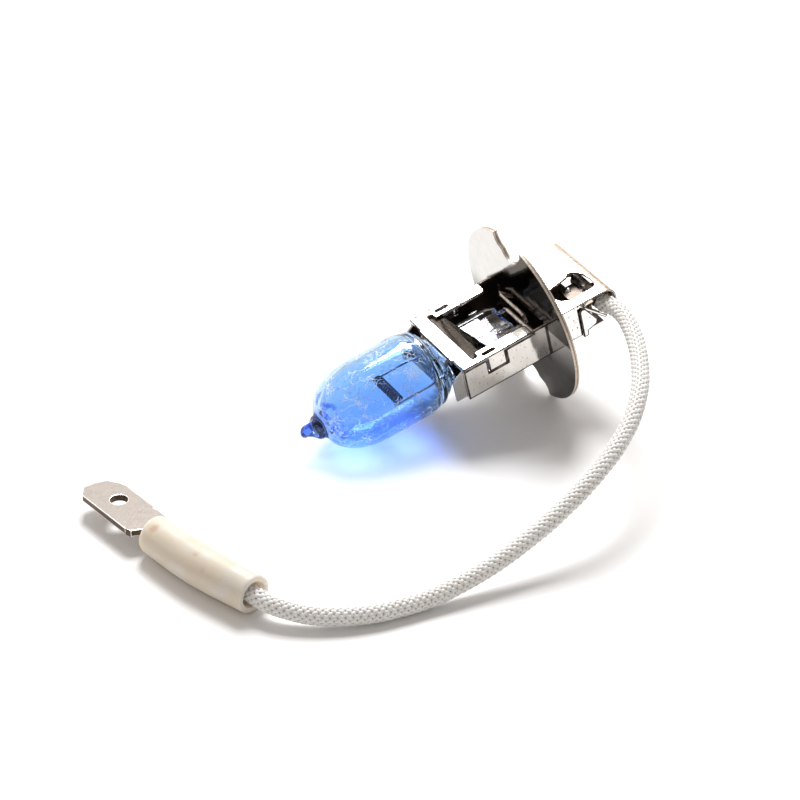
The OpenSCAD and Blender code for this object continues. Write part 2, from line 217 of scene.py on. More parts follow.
def blue_glass():
    """Blue filter glass: clear at the pinch, blue from its root on, with painted shade making it darker blue
    towards its lower side, deeper blue at the tip, painted dark refraction spots near the dome, and fine pale
    streaks.
    """
    finish = Finish("blue filter glass", Roughness=0.02, IOR=1.47, Transmission_Weight=1.0)
    place = finish.place()
    along = finish.axis(place, "X")
    up = finish.axis(place, "Z")
    warp = finish.add("ShaderNodeTexNoise", {"Vector": place, "Scale": 0.7, "Detail": 4.0, "Roughness": 0.65})
    warped = finish.add("ShaderNodeVectorMath", {0: warp.outputs["Color"], 1: (1.9, 1.9, 1.9), 2: place})
    warped.operation = "MULTIPLY_ADD"
    cells = {"Vector": finish.stretch(warped.outputs[0], 0.55, 1.0, 1.0), "Scale": 0.62}
    veins = finish.add("ShaderNodeTexVoronoi", cells, feature="DISTANCE_TO_EDGE").outputs[0]
    thin = finish.step(veins, 0.006, 0.035, 1.0, 0.0)
    patches = finish.step(finish.noise(place, 0.5, 2.0), 0.42, 0.54)
    root = finish.step(along, 10.6, 12.4)
    # painted shade: the glass is coloured darker blue towards its lower side
    painted_lower_shade = finish.math("MULTIPLY", finish.step(up, 1.0, -4.6), 0.75)
    tip = finish.step(along, 26.6, 27.6)
    # painted refraction: dark blue spots near the dome stand in for the tip seen through the glass
    painted_refraction_spots = finish.step(finish.noise(place, 0.9, 1.0), 0.56, 0.62)
    painted_refraction_spots = finish.math("MULTIPLY", painted_refraction_spots, finish.step(along, 25.2, 25.9))
    frost = finish.distance(place, FROST_SPOT)
    frost = finish.math("ADD", frost, finish.math("MULTIPLY", finish.noise(place, 2.4, 4.0, 0.7), 2.6))
    frost = finish.step(frost, 2.7, 1.5)
    reach = finish.math("MULTIPLY", finish.step(along, 13.6, 15.0), finish.step(along, 27.6, 26.6))
    streaks = finish.math("MULTIPLY", finish.math("MULTIPLY", thin, patches), reach)
    streaks = finish.math("MAXIMUM", streaks, finish.math("MULTIPLY", frost, 0.5))
    body = finish.blend(painted_lower_shade, (0.44, 0.65, 0.93), (0.17, 0.37, 0.86))
    body = finish.blend(finish.math("MAXIMUM", tip, painted_refraction_spots), body, (0.09, 0.20, 0.72))
    grey = finish.step(finish.noise(finish.stretch(place, 0.8, 1.4, 1), 0.9, 4.0, 0.6, 1.2), 0.42, 0.6)
    seal = finish.blend(grey, (0.97, 0.97, 0.97), (0.46, 0.47, 0.50))
    colour = finish.blend(root, seal, body)
    finish.feed("Base Color", finish.blend(streaks, colour, (0.95, 0.98, 1.0)))
    finish.feed("Transmission Weight", finish.math("SUBTRACT", 1.0, finish.math("MULTIPLY", streaks, 0.6)))
    finish.feed("Roughness", finish.step(streaks, 0.0, 1.0, 0.015, 0.3))
    finish.bump(finish.noise(place, 0.4, 1.0), 0.05, 0.1)
    clear_to_lamps(finish, (0.64, 0.71, 0.93))
    return finish.material


def seam_shade(finish, place, colour):
    """A dark line where the holder stands on the flange."""
    seam = finish.step(finish.math("ABSOLUTE", finish.axis(place, "X")), 0.12, 0.26, 0.9, 0.0)
    return finish.blend(seam, colour, (0.05, 0.035, 0.03))


RIDGE_Y = 1.7


def flange_painted_reflections(finish, place, colour):
    """Painted dark reflection: darker towards the lower side, and nearly black over the holder's open end,
    where the flange mirrors the shaded table and the holder's dark inside.
    """
    side, up = finish.axis(place, "Y"), finish.axis(place, "Z")
    # painted dark reflection of the shaded table on the flange's lower side
    colour = finish.blend(finish.step(up, 1.5, -4.0, 0.0, 0.95), colour, (0.06, 0.057, 0.054))
    far = finish.math("MULTIPLY", finish.math("MAXIMUM", finish.math("SUBTRACT", RIDGE_Y, side), 0.0), 0.83)
    near = finish.math("MULTIPLY", finish.math("MAXIMUM", finish.math("SUBTRACT", side, RIDGE_Y), 0.0), 3.0)
    roof = finish.math("SUBTRACT", finish.math("ADD", up, far), near)
    # the smoke mask is a painted dark reflection of the holder's open inside
    smoke = finish.math("MULTIPLY", finish.step(roof, 8.8, 8.4), finish.step(side, -7.0, -6.7))
    beside = finish.math("MAXIMUM", finish.step(side, 5.8, 5.6), finish.step(up, 1.3, 1.7))
    smoke = finish.math("MULTIPLY", finish.math("MULTIPLY", smoke, beside), finish.step(up, -3.9, -3.5))
    smoke = finish.math("MULTIPLY", smoke, finish.step(finish.axis(place, "X"), -0.12, -0.05, 0.0, 0.93))
    return finish.blend(smoke, colour, (0.035, 0.03, 0.028))


def nickel(name, colour, rough, specks, shade=None):
    """Bright nickel plate with slow waves, small brown specks and a few dull patches."""
    finish = Finish(name, Metallic=1.0)
    place = finish.place()
    dots = finish.step(finish.noise(place, 3.4, 1.0), 0.74 - specks, 0.79 - specks)
    cloud = finish.noise(place, 0.7, 4.0, 0.6)
    base = finish.blend(finish.step(cloud, 0.35, 0.7), colour, tuple(0.93 * part for part in colour))
    base = finish.blend(dots, base, (0.30, 0.20, 0.13))
    finish.feed("Base Color", shade(finish, place, base) if shade else base)
    scratch = finish.noise(finish.stretch(place, 1.0, 9.0, 9.0), 1.6, 3.0)
    polish = finish.math("MULTIPLY_ADD", scratch, rough)
    polish.node.inputs[2].default_value = rough * 0.5
    finish.feed("Roughness", finish.math("MAXIMUM", polish, finish.math("MULTIPLY", dots, 0.45)))
    waves = finish.noise(place, 0.45, 1.5)
    finish.bump(finish.math("ADD", waves, finish.math("MULTIPLY", cloud, 0.05)), 0.12, 0.3)
    return finish.material


def cut_edge():
    """Sheared sheet edge: tan steel with cross marks and a darker break line in the middle."""
    finish = Finish("bare cut edge", Metallic=0.5)
    place = finish.place()
    marks = finish.noise(finish.stretch(place, 0.7, 5.0, 5.0), 2.2, 3.0)
    across = finish.math("ABSOLUTE", finish.math("ADD", finish.axis(place, "X"), 0.33))
    line = finish.step(across, 0.03, 0.11, 1.0, 0.0)
    tan = finish.blend(finish.step(marks, 0.35, 0.65), (0.58, 0.47, 0.38), (0.80, 0.71, 0.62))
    finish.feed("Base Color", finish.blend(finish.math("MULTIPLY", line, 0.8), tan, (0.16, 0.11, 0.08)))
    finish.feed("Roughness", finish.step(marks, 0.2, 0.8, 0.28, 0.5))
    finish.bump(marks, 0.03, 0.5)
    return finish.material


def blade_nickel():
    """Dull warm nickel of the push-on blade, mottled."""
    finish = Finish("dull nickel blade", Metallic=0.9)
    place = finish.place(SLEEVE)
    cloud = finish.noise(place, 0.9, 5.0, 0.65)
    fine = finish.noise(place, 6.0, 4.0, 0.6)
    warm = finish.blend(finish.step(cloud, 0.35, 0.65), (0.66, 0.60, 0.55), (0.56, 0.54, 0.52))
    finish.feed("Base Color", finish.blend(finish.step(fine, 0.3, 0.7), warm, (0.70, 0.63, 0.58)))
    finish.feed("Roughness", finish.step(fine, 0.2, 0.8, 0.08, 0.13))
    finish.bump(fine, 0.02, 0.15)
    return finish.material


def plain_metal(name, dark, light, low, high, scale=2.5):
    """Small metal parts: two tones by noise, and a roughness range."""
    finish = Finish(name, Metallic=1.0)
    cloud = finish.noise(finish.place(), scale, 4.0, 0.6)
    finish.feed("Base Color", finish.blend(finish.step(cloud, 0.3, 0.7), dark, light))
    finish.feed("Roughness", finish.step(cloud, 0.25, 0.75, low, high))
    finish.bump(cloud, 0.02, 0.5)
    return finish.material


def painted_edge_shade():
    """Painted shade and dark reflection along the sheet's folds and edges, lighter in patches."""
    finish = Finish("painted shade along the edges", Specular_IOR_Level=0.25)
    cloud = finish.noise(finish.place(), 1.1, 4.0, 0.6)
    # the lighter patches vary the painted edge shade by noise
    patchiness = finish.step(cloud, 0.45, 0.7)
    finish.feed("Base Color", finish.blend(patchiness, (0.028, 0.021, 0.017), (0.26, 0.21, 0.17)))
    finish.feed("Roughness", finish.step(cloud, 0.3, 0.7, 0.6, 0.4))
    finish.bump(cloud, 0.02, 0.4)
    return finish.material


def ceramic():
    finish = Finish("smoke stained ceramic")
    grain = finish.noise(finish.place(), 7.0, 4.0)
    smoke = finish.step(grain, 0.4, 0.7)
    finish.feed("Base Color", finish.blend(smoke, (0.34, 0.31, 0.28), (0.20, 0.175, 0.15)))
    finish.feed("Roughness", finish.step(grain, 0.2, 0.8, 0.45, 0.7))
    finish.bump(grain, 0.02, 0.5)
    return finish.material


def glass_braid():
    """Pearly glass-fibre plaits: fine filaments along each plait, with painted shade greying each plait
    towards its sides.
    """
    finish = Finish("glass fibre braid", Sheen_Weight=0.2)
    strand = finish.add("ShaderNodeUVMap", uv_map="strand").outputs[0]
    fibres = finish.noise(finish.stretch(strand, 0.8, 16.0, 1.0), 1.0, 3.0)
    side = finish.math("ABSOLUTE", finish.math("SUBTRACT", finish.axis(strand, "Y"), 0.5))
    # painted shade: each plait is greyer towards its sides
    rim = finish.step(side, 0.2, 0.46)
    cloud = finish.noise(finish.place(), 0.5, 2.0)
    white = finish.blend(finish.step(cloud, 0.4, 0.65), (0.97, 0.955, 0.93), (0.94, 0.90, 0.85))
    gaps = finish.math("MULTIPLY", finish.step(fibres, 0.35, 0.6, 1.0, 0.0), 0.3)
    white = finish.blend(gaps, white, (0.74, 0.73, 0.71))
    finish.feed("Base Color", finish.blend(finish.math("MULTIPLY", rim, 0.5), white, (0.62, 0.61, 0.59)))
    finish.feed("Roughness", finish.step(fibres, 0.2, 0.8, 0.3, 0.55))
    finish.bump(fibres, 0.03, 0.5)
    return finish.material


def braid_core():
    finish = Finish("lead core", Roughness=0.8)
    grain = finish.noise(finish.place(), 5.0, 3.0)
    finish.feed("Base Color", finish.blend(grain, (0.50, 0.49, 0.46), (0.66, 0.64, 0.61)))
    finish.bump(grain, 0.03, 0.5)
    return finish.material


STAINS = [((1.6, -1.0, 1.95), 0.8), ((8.4, -1.2, 1.9), 0.5), ((10.4, -1.8, 1.2), 0.6)]


def silicone():
    """Translucent cream silicone with yellowed patches and a few brown specks."""
    finish = Finish("cream silicone", Subsurface_Weight=0.8, Subsurface_Scale=0.0022, IOR=1.42)
    finish.shader.inputs["Subsurface Radius"].default_value = (1.0, 0.88, 0.76)
    place = finish.place(SLEEVE)
    cloud = finish.noise(place, 0.28, 3.0, 0.55)
    cream = finish.blend(finish.step(cloud, 0.38, 0.62), (0.79, 0.71, 0.63), (0.76, 0.655, 0.53))
    dust = finish.step(finish.noise(place, 2.6, 4.0, 0.6), 0.63, 0.72)
    cream = finish.blend(finish.math("MULTIPLY", dust, 0.5), cream, (0.66, 0.47, 0.30))
    for spot, size in STAINS:
        far = finish.distance(place, spot)
        ragged = finish.math("ADD", far, finish.math("MULTIPLY", finish.noise(place, 4.0), size))
        mark = finish.step(ragged, size * 0.7, size * 1.5, 0.6, 0.0)
        cream = finish.blend(mark, cream, (0.58, 0.37, 0.22))
    finish.feed("Base Color", cream)
    finish.feed("Roughness", finish.step(cloud, 0.3, 0.7, 0.34, 0.5))
    finish.bump(finish.noise(place, 1.2, 3.0), 0.05, 0.4)
    return finish.material


NICKEL = nickel("bright nickel plate", (0.95, 0.915, 0.875), 0.10, 0.075, seam_shade)
# the flange's finish carries painted dark reflections on its lower side and over the holder
FLANGE_NICKEL = nickel("flange nickel plate", (0.60, 0.585, 0.57), 0.12, -0.02, flange_painted_reflections)
CRADLE_NICKEL = nickel("hazed nickel plate", (0.50, 0.485, 0.47), 0.22, 0.06)
# painted shade: a dark plate for the faces inside the holder, cap, cradle and clamp
PAINTED_SHADE_PLATE = nickel("plate painted dark for shade", (0.11, 0.09, 0.075), 0.34, 0.05)
EDGE_SHADE = painted_edge_shade()
CUT_EDGE = cut_edge()
THIN_EDGE = plain_metal("thin cut edge", (0.50, 0.38, 0.28), (0.80, 0.70, 0.60), 0.25, 0.5, 3.0)
BURR = plain_metal("polished burr", (0.97, 0.95, 0.92), (1.0, 0.99, 0.96), 0.08, 0.2)
BLADE = blade_nickel()
BLADE_SIDE = plain_metal("blade's sheared side", (0.05, 0.038, 0.025), (0.20, 0.15, 0.11), 0.3, 0.55, 5.0)
TUNGSTEN = plain_metal("tungsten wire", (0.045, 0.055, 0.09), (0.12, 0.14, 0.20), 0.25, 0.45, 6.0)
INNER_WIRE = plain_metal("wire in the bulb", (0.20, 0.23, 0.30), (0.36, 0.40, 0.48), 0.25, 0.4, 6.0)
LEAD_WIRE = plain_metal("drawn lead wire", (0.44, 0.36, 0.30), (0.78, 0.72, 0.66), 0.2, 0.42)
FOIL = plain_metal("seal foil", (0.55, 0.56, 0.58), (0.82, 0.82, 0.84), 0.2, 0.4, 1.6)
COPPER = plain_metal("copper strands", (0.48, 0.22, 0.12), (0.78, 0.44, 0.28), 0.3, 0.5, 6.0)
RIVET = plain_metal("rivet head", (0.90, 0.88, 0.85), (0.98, 0.97, 0.95), 0.08, 0.2)


# ---------------------------------------------------------------- mesh helpers
def new_piece(name, points, faces, materials, face_materials=None):
    """A mesh object in the shared frame, with smooth shading."""
    mesh = bpy.data.meshes.new(name)
    mesh.from_pydata([tuple(point) for point in points], [], faces)
    for material in materials:
        mesh.materials.append(material)
    if face_materials:
        mesh.polygons.foreach_set("material_index", face_materials)
    mesh.shade_smooth()
    piece = bpy.data.objects.new(name, mesh)
    bpy.context.scene.collection.objects.link(piece)
    return piece


def turn_faces_out(piece):
    shape = bmesh.new()
    shape.from_mesh(piece.data)
    bmesh.ops.recalc_face_normals(shape, faces=shape.faces)
    shape.to_mesh(piece.data)
    shape.free()


def keep(piece, replaced):
    """Rides a finished piece on the bulb and the CAD node it stands for."""
    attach(piece, "root")
    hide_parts(replaced)


def loft(rings, closed_ends=True):
    """Points and faces that join rings of equal length."""
    count = len(rings[0])
    points = [point for ring in rings for point in ring]
    faces = [
        (i * count + k, i * count + (k + 1) % count,
         (i + 1) * count + (k + 1) % count, (i + 1) * count + k)
        for i in range(len(rings) - 1)
        for k in range(count)
    ]
    if closed_ends:
        last = (len(rings) - 1) * count
        faces.append(tuple(range(count - 1, -1, -1)))
        faces.append(tuple(last + k for k in range(count)))
    return points, faces


# ---------------------------------------------------------------- braided lead
CORD_ROUTE = [
    (17.9, -7, 12.3), (17.9, -8.8, 12.2), (17.4, -10.8, 12), (16.6, -13, 11.8), (15.4, -15.6, 11.5),
    (13.9, -18.2, 11.2), (12.5, -20.3, 10.9), (10.9, -22.2, 10.5), (9.2, -23.9, 10), (7.4, -25.3, 9.4),
    (4.6, -27.1, 8.6), (1.8, -28.4, 7.7), (-1, -29.4, 6.7), (-3.4, -30, 5.8), (-5.8, -30.5, 4.9),
    (-8.5, -30.9, 4), (-11.8, -31.3, 3), (-14.9, -31.5, 2.2), (-17.5, -31.6, 1.7), (-20, -31.6, 1.3),
    (-22.4, -31.5, 1.1), (-24.8, -31.3, 1.1), (-27.4, -30.9, 1.1), (-29.9, -30.1, 1.2), (-32.2, -29, 1.3),
    (-34.2, -27.6, 1.5), (-35.8, -26, 1.8), (-36.8, -24.5, 2),
]
ROLL_X = -8.1
CORD_END = 4.6
PLAITS = 8
PLAIT_PITCH = 6.2
PLAIT_R = 0.895
PLAIT_SWING = 0.07
PLAIT_HALF_T = 0.085
PLAIT_HALF_W = 0.25
STEPS_PER_CROSSING = 3
CORE_R = 0.81
CORE_SIDES = 20


def centreline(stops, gap):
    """Even points, gap apart, on a smooth curve through the stops."""
    fine = []
    padded = [2 * stops[0] - stops[1], *stops, 2 * stops[-1] - stops[-2]]
    for a, b, c, d in zip(padded, padded[1:], padded[2:], padded[3:]):
        for i in range(24):
            t = i / 24
            square, cube = 2 * a - 5 * b + 4 * c - d, 3 * b - a - 3 * c + d
            fine.append(0.5 * (2 * b + (c - a) * t + square * t * t + cube * t ** 3))
    fine.append(stops[-1])
    total = sum((q - p).length for p, q in zip(fine, fine[1:]))
    steps = round(total / gap)
    path, walked, i = [fine[0]], 0.0, 0
    for k in range(1, steps):
        goal = total * k / steps
        while walked + (fine[i + 1] - fine[i]).length < goal:
            walked += (fine[i + 1] - fine[i]).length
            i += 1
        path.append(fine[i].lerp(fine[i + 1], (goal - walked) / (fine[i + 1] - fine[i]).length))
    path.append(fine[-1])
    return path, total


def carried_frames(path):
    """A tangent and two side directions at each point, carried along without twist."""
    frames = []
    side = Vector((0, 0, 1))
    for i in range(len(path)):
        way = (path[min(i + 1, len(path) - 1)] - path[max(i - 1, 0)]).normalized()
        side = (side - way * side.dot(way)).normalized()
        frames.append((way, side, way.cross(side)))
    return frames


def braided_lead():
    """Two sets of flat plaits wound both ways, over and under each other, round a core."""
    start = [on_bulb(ROLL_X, y, 0.1) for y in (2.4, 4, 5.6)]
    end = [on_sleeve(s, 0, 0) for s in (SLEEVE_LEN, (SLEEVE_LEN + CORD_END) / 2, CORD_END)]
    stops = start + [Vector(point) * MM for point in CORD_ROUTE] + end
    crossing = PLAIT_PITCH / (2 * PLAITS)
    step = crossing / STEPS_PER_CROSSING
    path, total = centreline(stops, step * MM)
    frames = carried_frames(path)
    section = [(-1, -0.35), (-0.62, 0.62), (0, 1), (0.62, 0.62), (1, -0.35)]
    points, faces, face_materials, uvs = [], [], [], []
    slope = math.atan2(2 * math.pi * PLAIT_R, PLAIT_PITCH)
    for way in (1, -1):
        for k in range(PLAITS):
            first = len(points)
            for i, (centre, (along, side, up)) in enumerate(zip(path, frames)):
                turns = i * step / PLAIT_PITCH
                angle = 2 * math.pi * (way * turns + k / PLAITS)
                lift = PLAIT_R + way * PLAIT_SWING * math.cos(math.pi * i / STEPS_PER_CROSSING)
                for across, rise in section:
                    shift = across * PLAIT_HALF_W
                    spin = angle + way * shift * math.cos(slope) / PLAIT_R
                    out = side * math.cos(spin) + up * math.sin(spin)
                    place = centre + out * (lift + rise * PLAIT_HALF_T - 0.02 * abs(across)) * MM
                    points.append(place - along * shift * math.sin(slope) * MM)
                    uvs.append((i * step, (across + 1) / 2))
            size = len(section)
            for i in range(len(path) - 1):
                for j in range(size):
                    a, b = first + i * size + j, first + i * size + (j + 1) % size
                    faces.append((a, b, b + size, a + size) if way > 0 else (a, a + size, b + size, b))
            last = first + (len(path) - 1) * size
            faces.append(tuple(first + j for j in range(size)))
            faces.append(tuple(last + j for j in range(size)))
    face_materials = [0] * len(faces)
    core = [
        [centre + (side * math.cos(a) + up * math.sin(a)) * CORE_R * MM
         for a in (2 * math.pi * k / CORE_SIDES for k in range(CORE_SIDES))]
        for centre, (along, side, up) in list(zip(path, frames))[::STEPS_PER_CROSSING]
    ]
    core_points, core_faces = loft(core)
    base = len(points)
    points += core_points
    uvs += [(0, 0)] * len(core_points)
    faces += [tuple(base + i for i in face) for face in core_faces]
    face_materials += [1] * len(core_faces)
    piece = new_piece("braided_lead", points, faces, [glass_braid(), braid_core()], face_materials)
    layer = piece.data.uv_layers.new(name="strand")
    for loop in piece.data.loops:
        layer.data[loop.index].uv = uvs[loop.vertex_index]
    turn_faces_out(piece)
    keep(piece, "cord")
    return piece, path, total


lead, lead_path, lead_length = braided_lead()


# ---------------------------------------------------------------- soft sleeve on the terminal
def soft_sleeve():
    """Silicone tube with rounded ends, a slight belly and a soft bend, open at the lead's end."""
    sides = 72
    outer = [(0.0, 1.72), (0.04, 1.9), (0.12, 2.03), (0.25, 2.12), (0.5, 2.19), (1.2, 2.22), (3, 2.22),
             (5.5, 2.26), (8, 2.28), (11, 2.26), (13.5, 2.2), (15.5, 2.18), (15.85, 2.15), (15.97, 2.08),
             (16, 1.98)]
    inner = [(16, 1.62), (15.95, 1.54), (15.8, 1.49), (15.4, 1.46), (13, 1.44), (8, 1.42), (4, 1.42),
             (1, 1.42), (0.3, 1.44), (0.1, 1.5), (0.0, 1.62)]
    rings = []
    for s, radius in outer + inner:
        bend = -0.42 * math.sin(math.pi * min(max(s / SLEEVE_LEN, 0), 1)) ** 1.3
        lean = 0.10 * smooth(5, 0, s)
        belly = curve_through([(0, 0.0), (5, 0.02), (9, 0.02), (16, 0.0)], s)
        rings.append([
            on_sleeve(
                s + 0.03 * math.sin(3 * a),
                bend + lean + radius * math.cos(a) * 1.01,
                belly + radius * math.sin(a) * 0.985,
            )
            for a in (2 * math.pi * k / sides for k in range(sides))
        ])
    rings.append(rings[0])
    points, faces = loft(rings, closed_ends=False)
    piece = new_piece("soft_sleeve", points, faces, [silicone()])
    shape = bmesh.new()
    shape.from_mesh(piece.data)
    bmesh.ops.remove_doubles(shape, verts=shape.verts, dist=1e-7)
    bmesh.ops.recalc_face_normals(shape, faces=shape.faces)
    shape.to_mesh(piece.data)
    shape.free()
    piece.data.shade_smooth()
    keep(piece, "terminal_sleeve")
    return piece


sleeve = soft_sleeve()


# ---------------------------------------------------------------- glass
BULB_R = 5.05
DOME_START, DOME_END, DOME_POWER = 20.5, 27.4, 2.3
PINCH_HALF_W, BEAD_R, WEB_HALF = 3.2, 1.2, 0.95
PINCH_BACK = 2.2
NECK_END = 15.2
HOLLOW_R = 4.3


def dome_radius(x, radius, end):
    """Radius of a bulb of this radius whose rounded front closes at end."""
    if x <= DOME_START:
        return radius
    share = (x - DOME_START) / (end - DOME_START)
    return radius * max(0.0, 1 - share ** DOME_POWER) ** (1 / DOME_POWER)


def pinch_outline(angle):
    """Flat seal with a thicker bead along each side."""
    c, s = math.cos(angle), math.sin(angle)
    y = PINCH_HALF_W * math.copysign(abs(c) ** 0.8, c)
    bead_y = PINCH_HALF_W - BEAD_R
    if abs(y) > bead_y:
        height = math.sqrt(max(0.0, BEAD_R ** 2 - (abs(y) - bead_y) ** 2))
    else:
        height = WEB_HALF + (BEAD_R - WEB_HALF) * smooth(1.1, bead_y, abs(y))
    return y, math.copysign(height, s)


def glass_ring(x, angle):
    """Outer glass surface: flat pinch, widening neck, round bulb, dome."""
    radius = dome_radius(x, BULB_R, DOME_END)
    width = curve_through(
        [(2, PINCH_HALF_W), (9.5, PINCH_HALF_W), (11.4, 3.7), (12.4, 4.3), (13.3, 4.75),
         (NECK_END, BULB_R)],
        x,
    )
    height = curve_through(
        [(2, BEAD_R), (11.5, BEAD_R), (12.1, 2.0), (12.6, 3.7), (13.4, 4.6), (NECK_END, BULB_R)], x
    )
    flat_y, flat_z = pinch_outline(angle)
    flat_y *= width / PINCH_HALF_W
    flat_z *= height / BEAD_R
    if x > NECK_END:
        width = height = radius
    share = smooth(11.2, 12.9, x)
    y = flat_y * (1 - share) + width * math.cos(angle) * share
    z = flat_z * (1 - share) + height * math.sin(angle) * share
    corner = 1 - 0.12 * smooth(3.0, PINCH_BACK, x)
    return on_bulb(x, y * corner, z * corner)


def exhaust_tip(sides):
    """Rings of the twisted-off exhaust tip, from the dome outwards."""
    stops = [(26.9, 2.2), (27.15, 1.75), (27.4, 1.5), (27.7, 1.42), (28.0, 1.2), (28.35, 0.95),
             (28.7, 0.78), (29.0, 0.7), (29.3, 0.62), (29.55, 0.42), (29.75, 0.12)]
    rings = []
    for x, radius in stops:
        twist = (x - 27) * 1.1
        lobes = 0.16 * smooth(27.2, 28.2, x)
        rings.append([
            on_bulb(
                x,
                radius * (1 + lobes * math.cos(3 * (a - twist))) * math.cos(a)
                + 0.12 * math.sin(2.2 * (x - 27)),
                radius * (1 + lobes * math.cos(3 * (a - twist))) * math.sin(a) * 0.94,
            )
            for a in (2 * math.pi * k / sides for k in range(sides))
        ])
    return rings


def bulb_glass():
    """The envelope as one closed skin outside and one round the hollow."""
    sides = 96
    angles = [2 * math.pi * k / sides for k in range(sides)]
    stations = [PINCH_BACK, 2.3, 2.5, 3, 5, 7, 9, 9.5, 10, 10.5, 11, 11.4]
    stations += [11.5 + 0.12 * i for i in range(1, 20)] + [14, 14.5, 15, 15.5, 17, 19, DOME_START]
    stations += [DOME_START + 6.4 * math.sin(math.radians(6 * i)) for i in range(1, 13)]
    outer = [[glass_ring(x, a) for a in angles] for x in stations if x < 26.7]
    outer += exhaust_tip(sides)
    points, faces = loft(outer)
    hollow = [(13.0, 0.25), (13.02, 1.3), (13.1, 2.4), (13.35, 3.2), (13.75, 3.8), (14.4, 4.15),
              (15.3, HOLLOW_R), (17, HOLLOW_R), (19, HOLLOW_R)]
    inner_end = DOME_END - 0.9
    hollow += [
        (x, dome_radius(x, HOLLOW_R, inner_end))
        for x in (DOME_START + (inner_end - DOME_START) * math.sin(math.radians(7.5 * i)) for i in range(12))
    ]
    hollow.append((inner_end - 0.002, 0.2))
    inner = [[on_bulb(x, r * math.cos(a), r * math.sin(a)) for a in angles] for x, r in hollow]
    inner_points, inner_faces = loft(inner)
    base = len(points)
    points += inner_points
    faces += [tuple(base + i for i in reversed(face)) for face in inner_faces]
    piece = new_piece("bulb_glass", points, faces, [blue_glass()])
    keep(piece, "glass_envelope")


bulb_glass()


# ---------------------------------------------------------------- filament
def wound_coil_tree():
    """Geometry nodes: a round wire wound round the Z axis."""
    tree = bpy.data.node_groups.new("wound coil", "GeometryNodeTree")
    sockets = {}
    for name, kind in (
        ("Turns", "NodeSocketFloat"), ("Coil radius", "NodeSocketFloat"), ("Coil length", "NodeSocketFloat"),
        ("Wire radius", "NodeSocketFloat"), ("Wire material", "NodeSocketMaterial"),
    ):
        sockets[name] = tree.interface.new_socket(name=name, in_out="INPUT", socket_type=kind).identifier
    tree.interface.new_socket(name="Mesh", in_out="OUTPUT", socket_type="NodeSocketGeometry")
    nodes, links = tree.nodes, tree.links
    given, result = nodes.new("NodeGroupInput"), nodes.new("NodeGroupOutput")
    helix = nodes.new("GeometryNodeCurveSpiral")
    helix.inputs["Resolution"].default_value = 28
    wire = nodes.new("GeometryNodeCurvePrimitiveCircle")
    wire.inputs["Resolution"].default_value = 10
    skin = nodes.new("GeometryNodeCurveToMesh")
    skin.inputs["Fill Caps"].default_value = True
    realize, paint = nodes.new("GeometryNodeRealizeInstances"), nodes.new("GeometryNodeSetMaterial")
    links.new(given.outputs["Turns"], helix.inputs["Rotations"])
    links.new(given.outputs["Coil radius"], helix.inputs["Start Radius"])
    links.new(given.outputs["Coil radius"], helix.inputs["End Radius"])
    links.new(given.outputs["Coil length"], helix.inputs["Height"])
    links.new(given.outputs["Wire radius"], wire.inputs["Radius"])
    links.new(helix.outputs["Curve"], skin.inputs["Curve"])
    links.new(wire.outputs["Curve"], skin.inputs["Profile Curve"])
    links.new(skin.outputs["Mesh"], realize.inputs["Geometry"])
    links.new(realize.outputs["Geometry"], paint.inputs["Geometry"])
    links.new(given.outputs["Wire material"], paint.inputs["Material"])
    links.new(paint.outputs["Geometry"], result.inputs["Mesh"])
    return tree, sockets


COIL_LEN = 4.8
COIL_X, COIL_Y = 18.4, 0.3


def filament():
    """The coil lies across the bulb, between the ends of its two leads."""
    tree, sockets = wound_coil_tree()
    maker = bpy.data.objects.new("coil_maker", bpy.data.meshes.new("coil_maker"))
    bpy.context.scene.collection.objects.link(maker)
    modifier = maker.modifiers.new("wound coil", "NODES")
    modifier.node_group = tree
    for name, value in (
        ("Turns", 11.0), ("Coil radius", 0.5), ("Coil length", COIL_LEN), ("Wire radius", 0.11),
        ("Wire material", TUNGSTEN),
    ):
        modifier[sockets[name]] = value
    seen = bpy.context.evaluated_depsgraph_get()
    mesh = bpy.data.meshes.new_from_object(maker.evaluated_get(seen))
    spot = Matrix.Translation((COIL_X, COIL_Y + COIL_LEN / 2, 0))
    mesh.transform(BULB @ spot @ Matrix.Rotation(math.pi / 2, 4, "X"))
    mesh.shade_smooth()
    bpy.data.objects.remove(maker)
    piece = bpy.data.objects.new("filament_winding", mesh)
    bpy.context.scene.collection.objects.link(piece)
    keep(piece, "filament_coil")


filament()


# ---------------------------------------------------------------- sheet metal with softened edges
SMOOTH_STRIP = 0.45
SHARP_ANGLE = math.radians(40)
BEVEL_ANGLE = math.radians(32)
SAME_SIDE = 0.999


def strip_width(face):
    """Width in millimetres of the long strip that has the face's area and outline."""
    return 2 * face.calc_area() / max(face.calc_perimeter(), 1e-9) / MM


def outline_flat_faces(shape, width, finish):
    """Gives each flat side a narrow band of another finish along its edges."""
    sides = []
    for face in shape.faces:
        if strip_width(face) > SMOOTH_STRIP:
            for normal, faces in sides:
                if normal.dot(face.normal) > SAME_SIDE:
                    faces.append(face)
                    break
            else:
                sides.append((face.normal.copy(), [face]))
    for _, faces in sides:
        band = bmesh.ops.inset_region(
            shape, faces=faces, thickness=width * MM, use_even_offset=True, use_boundary=True
        )
        for face in band["faces"]:
            face.material_index = finish


